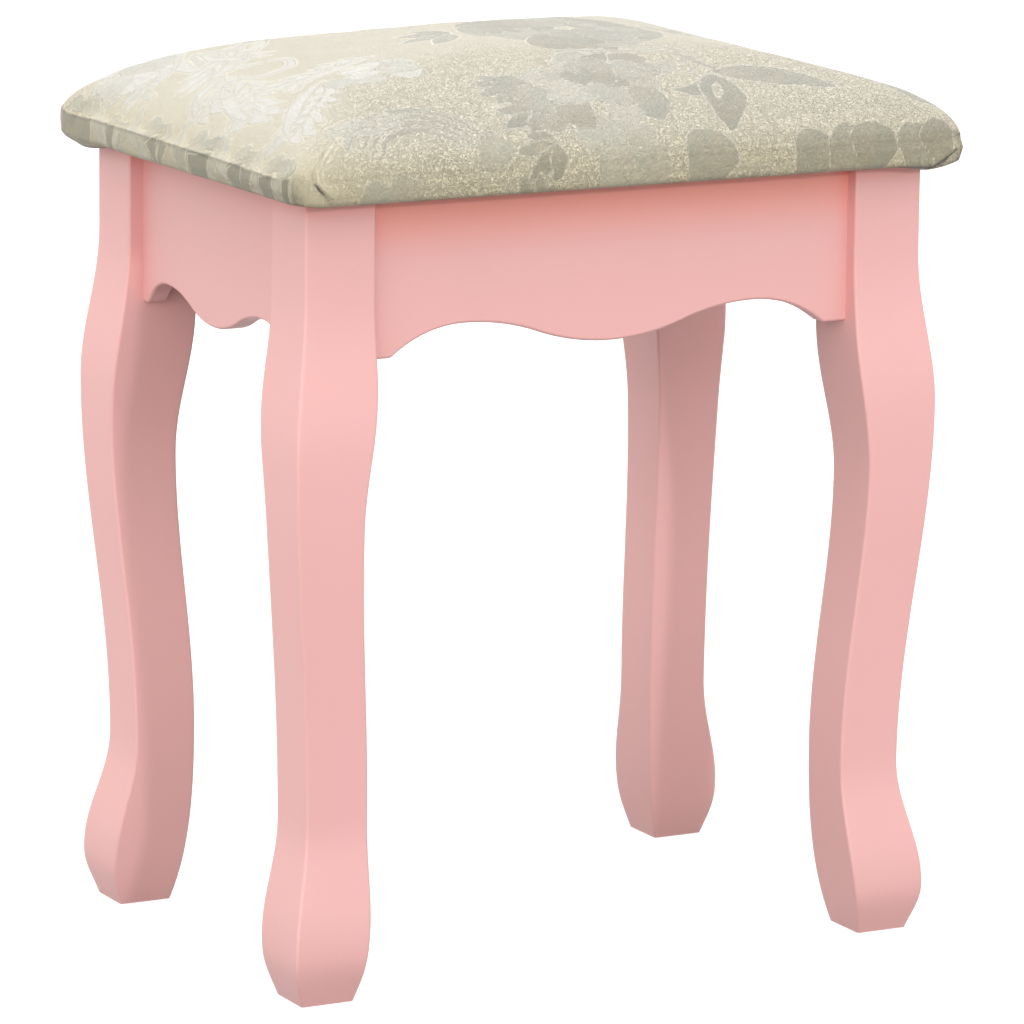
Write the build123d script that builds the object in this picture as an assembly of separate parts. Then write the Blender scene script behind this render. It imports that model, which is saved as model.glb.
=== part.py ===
from build123d import *
import os
from math import asin, sin

# A dressing-table stool: four square cabriole legs, four scalloped aprons and a domed seat.
# Millimetres, +Z up, +Y towards the back. The origin is on the floor, under the middle.

# Frame, over the top blocks of the legs
FRAME_LENGTH = 345.0
FRAME_DEPTH = 242.0
FRAME_HEIGHT = 400.0

# Legs: the same curve is sawn on two neighbouring faces of a square blank
LEG_BLOCK = 38.0  # side of the straight top block
OUTER_BLOCK_DROP = 45.0  # how far down the outer face stays straight
INNER_BLOCK_DROP = 83.0  # how far down the inner face stays straight
KNEE_DROP = 125.0  # top of the leg down to the fullest point of the knee
KNEE_SWELL = 7.5  # knee beyond the block's outer face
HOLLOW_DROP = 162.0  # top of the leg down to the hollow behind the knee
HOLLOW_DEPTH = 7.8
ANKLE_HEIGHT = 89.0
ANKLE_WAIST = 3.7  # ankle inside the block's outer face
CALF_HEIGHT = 95.0
CALF_HOLLOW = 0.6  # back of the ankle inside the block's inner face
FOOT_HEIGHT = 24.0
FOOT_SWELL = 6.7  # toe beyond the block's outer face
SOLE = 28.3  # side of the square sole
SOLE_OVERHANG = 0.6  # sole beyond the block's outer face
SOLE_TAPER = 0.3  # slope of the toe and heel where they meet the floor
LEG_ARRIS = 1.4  # rounding of the four long edges

# Aprons
APRON_THICKNESS = 11.0
APRON_SETBACK = 8.0  # apron behind the legs' outer faces
APRON_DEPTH = 81.0  # top edge to the lobes and the belly
APRON_ARRIS = 1.5
LOBE_ROUND = 4.0
LONG_LOBE = 12.7  # level stretch beside the leg
LONG_CREST = 81.5  # middle of the apron to the top of each arch
LONG_RISE = 14.5
SHORT_LOBE = 5.0
SHORT_CREST = 55.5
SHORT_RISE = 13.0

# Dowels that join each apron to its legs
DOWEL_DIAMETER = 6.0
DOWEL_LENGTH = 30.0
DOWEL_DROPS = (18.0, 60.0)  # top of the frame down to each dowel
DOWEL_CHAMFER = 0.8
DOWEL_FIT = 0.1
DOWEL_END_GAP = 0.5

# Corner blocks, glued and screwed behind the aprons
BRACE_THICKNESS = 22.0
BRACE_REACH = 57.0  # corner of the aprons to the end of a block
BRACE_END = 10.0
BRACE_SCREW_REACH = 42.0
BRACE_SCREW_SEAT = 12.0  # screw head to the apron's inner face
BRACE_SCREW_LENGTH = 20.0
BRACE_SCREW_DIAMETER = 3.5
BRACE_SCREW_HEAD = 7.0
COUNTERBORE_FIT = 0.4

# Screws that hold the seat down, up through the corner blocks
SEAT_SCREW_REACH = 26.0
SEAT_SCREW_LENGTH = 31.0
SEAT_SCREW_DIAMETER = 4.0
SEAT_SCREW_HEAD = 8.0
SCREW_FIT = 0.1

# Seat
SEAT_END_OVERHANG = 16.8  # leg block to the seat's edge, at the left and right
SEAT_SIDE_OVERHANG = 20.5  # the same at the front and back
SEAT_CORNER = 14.5  # plan radius of the cover
BOARD = 12.0
BOARD_ARRIS = 4.0
FABRIC = 1.0
WRAP_GAP = 0.2  # cover to the edge of the board
SOFT_GAP = 0.5  # between one soft layer and the next
WADDING = 4.0
HEM = 34.0  # fabric turned under the board
DUST_CLOTH = 0.5
DUST_CLOTH_INSET = 20.0  # edge of the seat to the edge of the dust cloth
DUST_CLOTH_CORNER = 6.0

# Crown of the seat: how each side rises from the board to the flat middle
CROWN_RISE = 46.0
CROWN_FLAT_X = 24.0
CROWN_FLAT_Y = 26.0
CROWN_EXPONENT_X = 1.74
CROWN_EXPONENT_Y = 1.65
CROWN_CAP = 0.995  # share of the rise at which the top goes flat
CROWN_STEPS = 8

# Staples through dust cloth and hem
STAPLE_CROWN = 10.0
STAPLE_WIDTH = 1.2
STAPLE_WIRE = 0.5
STAPLE_LEG = 7.0
STAPLE_FIT = 0.05
STAPLE_CLEARANCE = 2.3  # outer face of an apron to the middle of the staples
LONG_STAPLE_COUNT = 8
SHORT_STAPLE_COUNT = 5
STAPLE_END_MARGIN = 12.0  # leg block to the nearest staple

# Places that follow from those sizes
half_x = FRAME_LENGTH / 2
half_y = FRAME_DEPTH / 2
seat_x = half_x + SEAT_END_OVERHANG
seat_y = half_y + SEAT_SIDE_OVERHANG
apron_back = APRON_SETBACK + APRON_THICKNESS
apron_middle = APRON_SETBACK + APRON_THICKNESS / 2
staple_inset = APRON_SETBACK - STAPLE_CLEARANCE
brace_bottom = FRAME_HEIGHT - BRACE_THICKNESS
hem_bottom = FRAME_HEIGHT + DUST_CLOTH
board_bottom = hem_bottom + FABRIC
board_top = board_bottom + BOARD
seat_screw_place = apron_back + SEAT_SCREW_REACH
brace_screw_seat = apron_back + BRACE_SCREW_SEAT
brace_screw_along = apron_back + BRACE_SCREW_REACH
brace_screw_height = FRAME_HEIGHT - BRACE_THICKNESS / 2


def around(piece, sides=((-1, -1), (1, -1), (-1, 1), (1, 1))):
    """Copies of a front-left piece, whose outer corner is at the origin, at the frame's corners."""
    copies = []
    for side_x, side_y in sides:
        copy = piece if side_x < 0 else mirror(piece, about=Plane.YZ)
        copy = copy if side_y < 0 else mirror(copy, about=Plane.XZ)
        copies.append(Pos(side_x * half_x, side_y * half_y, 0) * copy)
    return copies


def screw(length, diameter, head, grow=0.0):
    """A countersunk screw along +Z with its head's face at the origin."""
    radius, rim = diameter / 2 + grow, head / 2 + grow
    sink = head / 2 - diameter / 2
    tip = length + grow
    outline = Polyline((0, 0), (rim, 0), (radius, sink), (radius, tip - diameter), (0, tip), close=True)
    return revolve(make_face(Plane.XZ * outline), Axis.Z)


def dowel(grow=0.0, end_gap=0.0, chamfered=True):
    """A dowel, or with grow its hole, centred on the origin along X."""
    length = DOWEL_LENGTH + 2 * end_gap
    rod = Rot(0, 90, 0) * Cylinder(DOWEL_DIAMETER / 2 + grow, length)
    return chamfer(rod.edges(), DOWEL_CHAMFER) if chamfered else rod


def corner_dowels(**shape):
    """The four dowels of the front-left leg, with their joints on the block's inner faces."""
    along_x = [Pos(LEG_BLOCK, apron_middle, FRAME_HEIGHT - drop) * dowel(**shape) for drop in DOWEL_DROPS]
    along_y = [
        Pos(apron_middle, LEG_BLOCK, FRAME_HEIGHT - drop) * Rot(0, 0, 90) * dowel(**shape)
        for drop in DOWEL_DROPS
    ]
    return along_x + along_y


def dowel_holes():
    holes = corner_dowels(grow=DOWEL_FIT, end_gap=DOWEL_END_GAP, chamfered=False)
    return [hole for one in holes for hole in around(one)]


def corner_brace_screws(grow=0.0):
    """The two screws of the front-left corner block, one into each apron."""
    one = screw(BRACE_SCREW_LENGTH, BRACE_SCREW_DIAMETER, BRACE_SCREW_HEAD, grow)
    into_front = Pos(brace_screw_along, brace_screw_seat, brace_screw_height) * Rot(90, 0, 0)
    into_side = Pos(brace_screw_seat, brace_screw_along, brace_screw_height) * Rot(0, -90, 0)
    return [into_front * one, into_side * one]


def corner_seat_screw(grow=0.0):
    one = screw(SEAT_SCREW_LENGTH, SEAT_SCREW_DIAMETER, SEAT_SCREW_HEAD, grow)
    return Pos(seat_screw_place, seat_screw_place, brace_bottom) * one


def leg_profile():
    """The sawn outline of a leg: x runs inwards from the block's outer face, y up from the floor."""
    down = (0, -1)
    toe, heel = (SOLE_TAPER, -1), (-SOLE_TAPER, -1)
    outer_start = (0, FRAME_HEIGHT - OUTER_BLOCK_DROP)
    outer_sole = (-SOLE_OVERHANG, 0)
    outer = Spline(
        outer_start,
        (-KNEE_SWELL, FRAME_HEIGHT - KNEE_DROP),
        (ANKLE_WAIST, ANKLE_HEIGHT),
        (-FOOT_SWELL, FOOT_HEIGHT),
        outer_sole,
        tangents=(down, down, down, down, toe),
    )
    inner_start = (LEG_BLOCK, FRAME_HEIGHT - INNER_BLOCK_DROP)
    inner_sole = (SOLE - SOLE_OVERHANG, 0)
    inner = Spline(
        inner_start,
        (LEG_BLOCK - HOLLOW_DEPTH, FRAME_HEIGHT - HOLLOW_DROP),
        (LEG_BLOCK - CALF_HOLLOW, CALF_HEIGHT),
        inner_sole,
        tangents=(down, down, down, heel),
    )
    block = Polyline(outer_start, (0, FRAME_HEIGHT), (LEG_BLOCK, FRAME_HEIGHT), inner_start)
    return make_face(Curve() + [outer, inner, block, Line(outer_sole, inner_sole)])


def leg():
    """The front-left leg, with the outer corner of its block over the origin."""
    face = leg_profile()
    blank = 2 * (LEG_BLOCK + KNEE_SWELL + FOOT_SWELL)
    seen_from_front = extrude(Plane.XZ * face, blank, both=True)
    seen_from_side = extrude(Plane.YZ * face, blank, both=True)
    sawn = seen_from_front & seen_from_side
    level = sawn.faces().filter_by(Axis.Z)
    ends = [edge for face in level for edge in face.edges()]
    long_edges = [edge for edge in sawn.edges() if not any(edge.is_same(end) for end in ends)]
    rounded = fillet(long_edges, LEG_ARRIS)
    return rounded - corner_dowels(grow=DOWEL_FIT, end_gap=DOWEL_END_GAP, chamfered=False)


def apron(half, lobe, crest, rise):
    """An apron along X with its outer face on y = 0 and its thickness towards +Y."""
    low = FRAME_HEIGHT - APRON_DEPTH
    foot, top = (half - lobe, low), (crest, low + rise)
    turn = (crest / 2, low + rise / 2)
    half_edge = Curve() + [
        Polyline((0, FRAME_HEIGHT), (half, FRAME_HEIGHT), (half, low), foot),
        TangentArc(top, foot, tangent=(1, 0)),
        TangentArc(top, turn, tangent=(-1, 0)),
        TangentArc((0, low), turn, tangent=(1, 0)),
    ]
    outline = make_face(half_edge + mirror(half_edge, about=Plane.YZ))
    lobes = [corner for corner in outline.vertices() if abs(abs(corner.X) - foot[0]) < LOBE_ROUND / 10]
    outline = fillet(lobes, LOBE_ROUND)
    board = extrude(Plane.XZ * outline, -APRON_THICKNESS)
    shaped = [edge for edge in board.edges() if is_scalloped(edge, half)]
    return fillet(shaped, APRON_ARRIS)


def is_scalloped(edge, half):
    """Whether an edge of an apron runs along its lower outline, on the front or the back face."""
    middle, box = edge.center(), edge.bounding_box()
    across = box.size.Y > APRON_ARRIS
    return not across and middle.Z < FRAME_HEIGHT - APRON_DEPTH / 2 and abs(middle.X) < half - APRON_ARRIS / 10


def aprons():
    holes = dowel_holes() + [hole for one in corner_brace_screws(SCREW_FIT) for hole in around(one)]
    long_one = apron(half_x - LEG_BLOCK, LONG_LOBE, LONG_CREST, LONG_RISE)
    short_one = apron(half_y - LEG_BLOCK, SHORT_LOBE, SHORT_CREST, SHORT_RISE)
    front = Pos(0, APRON_SETBACK - half_y, 0) * long_one
    left = Pos(APRON_SETBACK - half_x, 0, 0) * Rot(0, 0, -90) * short_one
    placed = {
        "apron_front": front,
        "apron_back": mirror(front, about=Plane.XZ),
        "apron_left": left,
        "apron_right": mirror(left, about=Plane.YZ),
    }
    return {name: piece - holes for name, piece in placed.items()}


def corner_block():
    """The front-left corner block, notched round the leg and flush with the top of the frame."""
    step = LEG_BLOCK - apron_back
    plan = Polyline(
        (step, 0),
        (BRACE_REACH, 0),
        (BRACE_REACH, BRACE_END),
        (BRACE_END, BRACE_REACH),
        (0, BRACE_REACH),
        (0, step),
        (step, step),
        close=True,
    )
    body = Pos(apron_back, apron_back, brace_bottom) * extrude(make_face(plan), BRACE_THICKNESS)
    bore = Cylinder(
        BRACE_SCREW_HEAD / 2 + COUNTERBORE_FIT,
        BRACE_REACH,
        align=(Align.CENTER, Align.CENTER, Align.MIN),
    )
    bores = [
        Pos(brace_screw_along, brace_screw_seat, brace_screw_height) * Rot(-90, 0, 0) * bore,
        Pos(brace_screw_seat, brace_screw_along, brace_screw_height) * Rot(0, 90, 0) * bore,
    ]
    return body - bores - corner_brace_screws(SCREW_FIT) - corner_seat_screw(SCREW_FIT)


def staple(grow=0.0):
    """A staple seen from below: crown along X under z = 0, legs up."""
    up = (Align.CENTER, Align.CENTER, Align.MIN)
    crown = Box(STAPLE_CROWN + 2 * grow, STAPLE_WIDTH + 2 * grow, STAPLE_WIRE, align=up)
    prong = Box(STAPLE_WIRE + 2 * grow, STAPLE_WIDTH + 2 * grow, STAPLE_LEG + grow, align=up)
    reach = (STAPLE_CROWN - STAPLE_WIRE) / 2
    return Pos(0, 0, -STAPLE_WIRE) * (crown + [Pos(side * reach, 0, 0) * prong for side in (-1, 1)])


def staples(grow=0.0):
    """Staples in a row along each side of the seat, between the legs and outside the aprons."""
    rows = (
        (half_y - staple_inset, half_x - LEG_BLOCK - STAPLE_END_MARGIN, LONG_STAPLE_COUNT, 0),
        (half_x - staple_inset, half_y - LEG_BLOCK - STAPLE_END_MARGIN, SHORT_STAPLE_COUNT, 90),
    )
    placed = []
    for out, reach, count, turn in rows:
        for number in range(count):
            along = reach * (2 * number / (count - 1) - 1)
            for side in (-1, 1):
                placed.append(Rot(0, 0, turn) * Pos(along, side * out, FRAME_HEIGHT) * staple(grow))
    return placed


def slab(inset, bottom, top, corner=None):
    """A flat layer of the seat, inset from the outside of the cover."""
    radius = SEAT_CORNER - inset if corner is None else corner
    plan = RectangleRounded(2 * (seat_x - inset), 2 * (seat_y - inset), radius)
    return Pos(0, 0, bottom) * extrude(plan, top - bottom)


def eased_slab(inset, bottom, arris):
    """A flat layer up to the top of the board, with its lower edge rounded."""
    layer = slab(inset, bottom, board_top)
    return fillet(layer.faces().sort_by(Axis.Z)[0].edges(), arris)


def crown(inset):
    """The dome over the board, inset from the outside of the cover on every side."""
    rise = CROWN_RISE - inset
    sections = []
    for step in range(CROWN_STEPS + 1):
        share = sin(asin(CROWN_CAP) * step / CROWN_STEPS)
        lean_x = (seat_x - CROWN_FLAT_X) * (1 - (1 - share**CROWN_EXPONENT_X) ** (1 / CROWN_EXPONENT_X))
        lean_y = (seat_y - CROWN_FLAT_Y) * (1 - (1 - share**CROWN_EXPONENT_Y) ** (1 / CROWN_EXPONENT_Y))
        plan = RectangleRounded(
            2 * (seat_x - inset - lean_x), 2 * (seat_y - inset - lean_y), SEAT_CORNER - inset
        )
        sections.append(Pos(0, 0, board_top + rise * share) * plan)
    return loft(sections)


def seat():
    """The layers of the seat, from the dust cloth up to the cover."""
    screws = around(corner_seat_screw(SCREW_FIT))
    slots = staples(STAPLE_FIT)
    wadding_inset = FABRIC + SOFT_GAP
    foam_inset = wadding_inset + WADDING + SOFT_GAP
    outside = eased_slab(0, hem_bottom, BOARD_ARRIS + FABRIC) + crown(0)
    inside = eased_slab(FABRIC, board_bottom, BOARD_ARRIS) + crown(FABRIC)
    hem_opening = slab(HEM, hem_bottom, board_bottom, corner=SEAT_CORNER)
    dust_cloth = slab(DUST_CLOTH_INSET, FRAME_HEIGHT, hem_bottom, corner=DUST_CLOTH_CORNER)
    board = eased_slab(FABRIC + WRAP_GAP, board_bottom, BOARD_ARRIS)
    return {
        "dust_cloth": dust_cloth - screws - slots,
        "seat_board": board - screws - slots,
        "foam_pad": crown(foam_inset),
        "wadding": crown(wadding_inset) - crown(foam_inset - SOFT_GAP),
        "seat_cover": outside - inside - hem_opening - slots,
    }


def build():
    """Every piece of the stool by name."""
    places = ("front_left", "front_right", "back_left", "back_right")
    pieces = {f"leg_{place}": piece for place, piece in zip(places, around(leg()))}
    pieces |= aprons()
    pieces |= {f"corner_block_{place}": piece for place, piece in zip(places, around(corner_block()))}
    pieces |= seat()
    pieces["dowels"] = Compound([piece for one in corner_dowels() for piece in around(one)])
    pieces["corner_block_screws"] = Compound([piece for one in corner_brace_screws() for piece in around(one)])
    pieces["seat_screws"] = Compound(around(corner_seat_screw()))
    pieces["staples"] = Compound(staples())
    return pieces


os.makedirs("parts", exist_ok=True)
for name, piece in build().items():
    export_step(piece, f"parts/{name}.step")
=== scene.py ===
from math import asin, cos, pi, radians, sin, sqrt

import bmesh
import bpy
import numpy as np
from mathutils import Matrix, Vector

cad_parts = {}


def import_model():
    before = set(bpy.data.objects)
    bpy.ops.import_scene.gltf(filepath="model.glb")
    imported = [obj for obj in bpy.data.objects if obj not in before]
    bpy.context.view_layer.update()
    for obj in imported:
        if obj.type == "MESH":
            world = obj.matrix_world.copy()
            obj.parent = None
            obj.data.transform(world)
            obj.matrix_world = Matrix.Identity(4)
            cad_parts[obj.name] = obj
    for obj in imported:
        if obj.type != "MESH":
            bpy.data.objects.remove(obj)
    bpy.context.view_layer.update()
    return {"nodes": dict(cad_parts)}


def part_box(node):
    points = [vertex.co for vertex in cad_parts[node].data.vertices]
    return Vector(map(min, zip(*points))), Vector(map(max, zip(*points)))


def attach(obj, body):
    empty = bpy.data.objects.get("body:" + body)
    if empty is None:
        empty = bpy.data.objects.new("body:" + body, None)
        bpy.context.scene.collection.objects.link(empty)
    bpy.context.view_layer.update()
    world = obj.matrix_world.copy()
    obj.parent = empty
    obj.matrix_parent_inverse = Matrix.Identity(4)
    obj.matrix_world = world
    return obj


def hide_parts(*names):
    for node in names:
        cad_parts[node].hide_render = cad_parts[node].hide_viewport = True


# A dressing-table stool in pink paint with a domed damask seat.
# Metres, in the frame of the solids: +Z up, +Y towards the back, the origin on the floor.

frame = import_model()
MM = 0.001
TINY = 1e-9  # keeps a division from 0

# Camera, at the photograph's angle
CAMERA_PLACE = Vector((-1.5078, -2.8536, 0.8783))
CAMERA_YAW = 0.48756  # turn of the view from +Y towards +X
CAMERA_PITCH = 0.20388  # below the horizon
CAMERA_ROLL = 0.01071
CAMERA_LENS = 225.58  # mm on a 36 mm sensor
CAMERA_SENSOR = 36.0
CAMERA_REACH = 100.0

# Crown of the seat, as in the solids
CROWN_FLAT_X = 24 * MM
CROWN_FLAT_Y = 26 * MM
CROWN_EXPONENT_X = 1.74
CROWN_EXPONENT_Y = 1.65
CROWN_CAP = 0.995
SEAT_CORNER = 14.5 * MM

seat_low, seat_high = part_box("seat_cover")
_, board_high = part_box("seat_board")
seat_x, seat_y = seat_high[0], seat_high[1]
seat_bottom, board_top = seat_low[2], board_high[2]
crown_rise = (seat_high[2] - board_top) / CROWN_CAP


# ---- the seat's form
# A place on the cover is given by how far along the cut cloth it lies from the middle: to the
# right and to the back. Past the crown, "past" is the distance down the band and under the board.

FABRIC = 0.8 * MM
BAND_ROUND = 3.0 * MM  # rounding under the board's edge
HEM = 33.0 * MM  # how far the cloth reaches inwards under the board
HEM_CORNER = 5.0 * MM
PROFILE_STEPS = 240
BISECTIONS = 26

band_drop = board_top - seat_bottom - BAND_ROUND
band_end = band_drop + BAND_ROUND * pi / 2
square_x, square_y = seat_x - SEAT_CORNER, seat_y - SEAT_CORNER  # where the corners start


def lean(share, exponent):
    """How far the crown leans in at a share of its rise, from 0 to 1."""
    return 1 - (1 - share**exponent) ** (1 / exponent)


def crown_profile(half, flat, exponent):
    """The crown's line through the middle: distances along the cloth and how far out they lie."""
    share = np.sin(np.linspace(0, asin(CROWN_CAP), PROFILE_STEPS))
    out = half - (half - flat) * lean(share, exponent)
    climbed = np.cumsum(np.hypot(np.diff(out), crown_rise * np.diff(share)))
    length = climbed[-1] + out[-1]
    along = length - np.concatenate([[0.0], climbed])
    return length, np.concatenate([[0.0], along[::-1]]), np.concatenate([[0.0], out[::-1]])


crown_x = crown_profile(seat_x, CROWN_FLAT_X, CROWN_EXPONENT_X)
crown_y = crown_profile(seat_y, CROWN_FLAT_Y, CROWN_EXPONENT_Y)
CUT_X, CUT_Y = crown_x[0], crown_y[0]  # middle of the cloth to the band


def crown_height(x, y, inset=0.0):
    """Height of the crown over a place in plan, or of a layer under it."""
    rise = crown_rise - inset
    corner = SEAT_CORNER - inset
    low, high = np.zeros_like(x), np.full_like(x, CROWN_CAP)
    for _ in range(BISECTIONS):
        share = (low + high) / 2
        lean_x = (seat_x - CROWN_FLAT_X) * lean(share, CROWN_EXPONENT_X)
        lean_y = (seat_y - CROWN_FLAT_Y) * lean(share, CROWN_EXPONENT_Y)
        past_x = np.abs(x) - (seat_x - inset - lean_x - corner)
        past_y = np.abs(y) - (seat_y - inset - lean_y - corner)
        covered = np.hypot(np.maximum(past_x, 0), np.maximum(past_y, 0)) <= corner
        low, high = np.where(covered, share, low), np.where(covered, high, share)
    return board_top + rise * low


def in_plan(u, v):
    """Where a place of the cloth lies in plan. The square cut is drawn round at the corners."""
    x = np.sign(u) * np.interp(np.abs(u), crown_x[1], crown_x[2])
    y = np.sign(v) * np.interp(np.abs(v), crown_y[1], crown_y[2])
    a = np.clip((np.abs(x) - square_x) / SEAT_CORNER, 0, 1)
    b = np.clip((np.abs(y) - square_y) / SEAT_CORNER, 0, 1)
    round_x = square_x + SEAT_CORNER * a * np.sqrt(1 - b * b / 2)
    round_y = square_y + SEAT_CORNER * b * np.sqrt(1 - a * a / 2)
    at_corner = (a > 0) & (b > 0)
    x = np.where(at_corner, np.sign(x) * round_x, x)
    return x, np.where(at_corner, np.sign(y) * round_y, y)


def drawn_in(x, y, inset):
    """A place on the seat's outline, moved inwards with the corners kept round."""
    corner = np.maximum(SEAT_CORNER - inset, HEM_CORNER)
    new_x, new_y = seat_x - inset - corner, seat_y - inset - corner
    past_x, past_y = np.maximum(np.abs(x) - square_x, 0), np.maximum(np.abs(y) - square_y, 0)
    reach = np.maximum(np.hypot(past_x, past_y), TINY)
    moved_x = np.where(past_x > 0, new_x + corner * past_x / reach, np.abs(x) * new_x / square_x)
    moved_y = np.where(past_y > 0, new_y + corner * past_y / reach, np.abs(y) * new_y / square_y)
    return np.sign(x) * moved_x, np.sign(y) * moved_y


def on_cover(u, v, past):
    """Places of the cloth in space."""
    x, y = in_plan(u, v)
    turn = np.clip((past - band_drop) / BAND_ROUND, 0, pi / 2)
    under = np.maximum(past - band_end, 0)
    inset = BAND_ROUND * (1 - np.cos(turn)) + under
    below = np.minimum(past, band_drop) + BAND_ROUND * np.sin(turn)
    edge_x, edge_y = drawn_in(x, y, inset)
    over = past <= 0
    z = np.where(over, crown_height(x, y), board_top - below)
    return np.stack([np.where(over, x, edge_x), np.where(over, y, edge_y), z], axis=1)


# ---- the damask's figures
# Distances in millimetres on the cut cloth, from its middle. A distance below 0 is inside a figure.


def turned(u, v, at, angle):
    """Places seen from a figure's own start, with its length along the first axis."""
    a = radians(angle)
    x, y = u - at[0], v - at[1]
    return x * cos(a) + y * sin(a), y * cos(a) - x * sin(a)


def leaf(u, v, at, length, width, angle, bend=0.0):
    """A pointed leaf; bend is how far its middle stands off the straight line."""
    along, across = turned(u, v, at, angle)
    share = np.clip(along / length, 0, 1)
    half = width / 2 * np.sin(pi * share**0.8) ** 0.85
    side = np.abs(across - 4 * bend * share * (1 - share)) - half
    return np.maximum(side, np.maximum(-along, along - length))


def bar(u, v, at, length, width, angle, taper=0.0):
    """A straight piece of a figure, narrower towards its end."""
    along, across = turned(u, v, at, angle)
    half = width / 2 * (1 - taper * np.clip(along / length, 0, 1))
    return np.maximum(np.abs(across) - half, np.maximum(-along, along - length))


def petal(u, v, at, length, width, angle):
    """A rounded petal, widest near its outer end."""
    along, across = turned(u, v, at, angle)
    share = np.clip(along / length, 0.001, 1)
    half = width / 2 * np.sqrt(share) * np.sqrt(np.maximum(1 - share**4, 0)) * 1.25
    return np.maximum(np.abs(across) - half, np.maximum(-along, along - length))


def stroke(u, v, at, radius, start, end, width, squash=1.0):
    """A curved stroke with thin ends, on an arc from one angle to another."""
    x, y = u - at[0], (v - at[1]) / squash
    angle = (np.degrees(np.arctan2(y, x)) - start) % 360
    share = angle / (end - start)
    half = width / 2 * np.sqrt(np.sin(pi * np.clip(share, 0, 1)))
    return np.where(share <= 1, np.abs(np.hypot(x, y) - radius) - half, radius)


def beside(at, reach, angle, squash=1.0):
    """The place at a distance and an angle from another."""
    a = radians(angle)
    return at[0] + reach * cos(a), at[1] + reach * sin(a) * squash


class Figure:
    """What has been drawn so far: the distance to its edge, and how grey it is there."""

    FAR = 60.0  # distance where nothing is drawn
    GAP = 1.3  # line of ground that is left round a shape
    WAVER = 0.5  # how far the edges waver
    GOLDEN_ANGLE = 137.5
    FEWEST_PETALS = 4
    SPRIG_LEAVES = 4
    SPRIG_SPREAD = 100  # degrees

    def __init__(self, u, v):
        slow, quick = np.sin(v / 3.1 + 1.1 * np.sin(u / 7.7)), np.sin(v / 1.5 + u / 3.1)
        self.u = u + self.WAVER * (slow + 0.4 * quick)
        slow, quick = np.sin(u / 2.9 + 1.3 * np.sin(v / 8.3)), np.sin(u / 1.4 - v / 2.9)
        self.v = v + self.WAVER * (slow + 0.4 * quick)
        self.edge = np.full_like(u, self.FAR)
        self.grey = np.zeros_like(u)

    def draw(self, shape, *where, grey):
        """A shape over what lies under it, with a thin line of ground round it."""
        new = shape(self.u, self.v, *where)
        self.edge = np.minimum(np.maximum(self.edge, self.GAP - new), new)
        self.grey = np.where(new < self.GAP, grey, self.grey)

    def cut(self, shape, *where):
        self.edge = np.maximum(self.edge, -shape(self.u, self.v, *where))

    def blossom(self, at, radius, rings, turn, squash, grey, petals=8):
        """A full flower: rings of rounded petals, the outer ones first, each ring a little off."""
        for ring in range(rings):
            reach = radius * (1 - ring / rings) ** 0.9
            count = max(self.FEWEST_PETALS, round(petals * (0.45 + 0.55 * reach / radius)))
            for number in range(count):
                angle = turn + 360 * (number + 0.37 * ring) / count + 7 * sin(3.1 * number + ring)
                grown = reach * (1 + 0.1 * sin(2.3 * number + 1.9 * ring))
                length = grown * 0.66
                width = 2.5 * grown * sin(pi / count)
                shade = grey + 0.3 * sin(2.4 * number + 1.7 * ring)
                place = beside(at, grown - length, angle, squash)
                self.draw(petal, place, length, width, angle, grey=shade)

    def cluster(self, at, spread, size, count, turn, grey, squash=1.0):
        """Rounded petals packed round a place, like a flower seen from its side."""
        for number in range(count):
            share = sqrt((count - number - 0.5) / count)
            angle = turn + self.GOLDEN_ANGLE * number
            grown = size * (1 + 0.22 * sin(2.9 * number))
            middle = beside(at, spread * share, angle, squash)
            shade = grey + 0.35 * sin(1.7 * number)
            start = beside(middle, -0.4 * grown, angle)
            self.draw(petal, start, grown, grown * 1.1, angle, grey=shade)

    def sprig(self, at, length, angle, grey):
        """Pointed leaves that fan out from one place."""
        for number in range(self.SPRIG_LEAVES):
            lean = (number / (self.SPRIG_LEAVES - 1) - 0.5) * self.SPRIG_SPREAD
            reach = length * (1 - abs(lean) / (2.4 * self.SPRIG_SPREAD))
            reach *= 1 + 0.12 * sin(5 * number + angle)
            self.draw(leaf, at, reach, length * 0.36, angle + lean, lean / 30, grey=grey)

    def plume(self, at, length, angle, curl, leaflets, size, grey):
        """A curved scroll of pointed leaflets that sweep back along their stem."""
        for number in range(leaflets, 0, -1):
            share = number / leaflets
            lean = angle + curl * share
            place = beside(at, length * share, angle + curl * share / 2)
            reach = size * (1.15 - 0.6 * share) * (1 + 0.2 * sin(4.3 * number))
            for side in (-1, 1):
                swept, bend = lean + 180 - side * 33, side * reach * 0.12
                self.draw(leaf, place, reach, reach * 0.3, swept, bend, grey=grey)
        stem, bend = length * 1.04, curl / 180 * length * 0.4
        self.draw(leaf, at, stem, size * 0.24, angle + curl / 2, bend, grey=grey)


def flower_on_top(drawn):
    for at, length, angle in (((-34, -4), 34, 175), ((88, 4), 32, 15), ((46, 44), 28, 78)):
        drawn.sprig(at, length, angle, 0.6)
    drawn.blossom((28, -8), 54, 4, turn=10, squash=0.9, grey=0.75, petals=9)


def flower_over_the_front(drawn):
    for at, angle in (((-50, -100), 176), ((-46, -124), 186), ((-44, -146), 205)):
        drawn.sprig(at, 23, angle, 0.75)
    drawn.cluster((-14, -113), 34, 22, 15, turn=20, grey=0.4)
    drawn.cluster((12, -84), 22, 16, 12, turn=70, grey=0.75, squash=0.8)
    for number in range(4):
        drawn.draw(stroke, (30 - 9 * number, -72), 8 + 2 * number, 20, 130, 2.2, grey=0.3)


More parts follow.
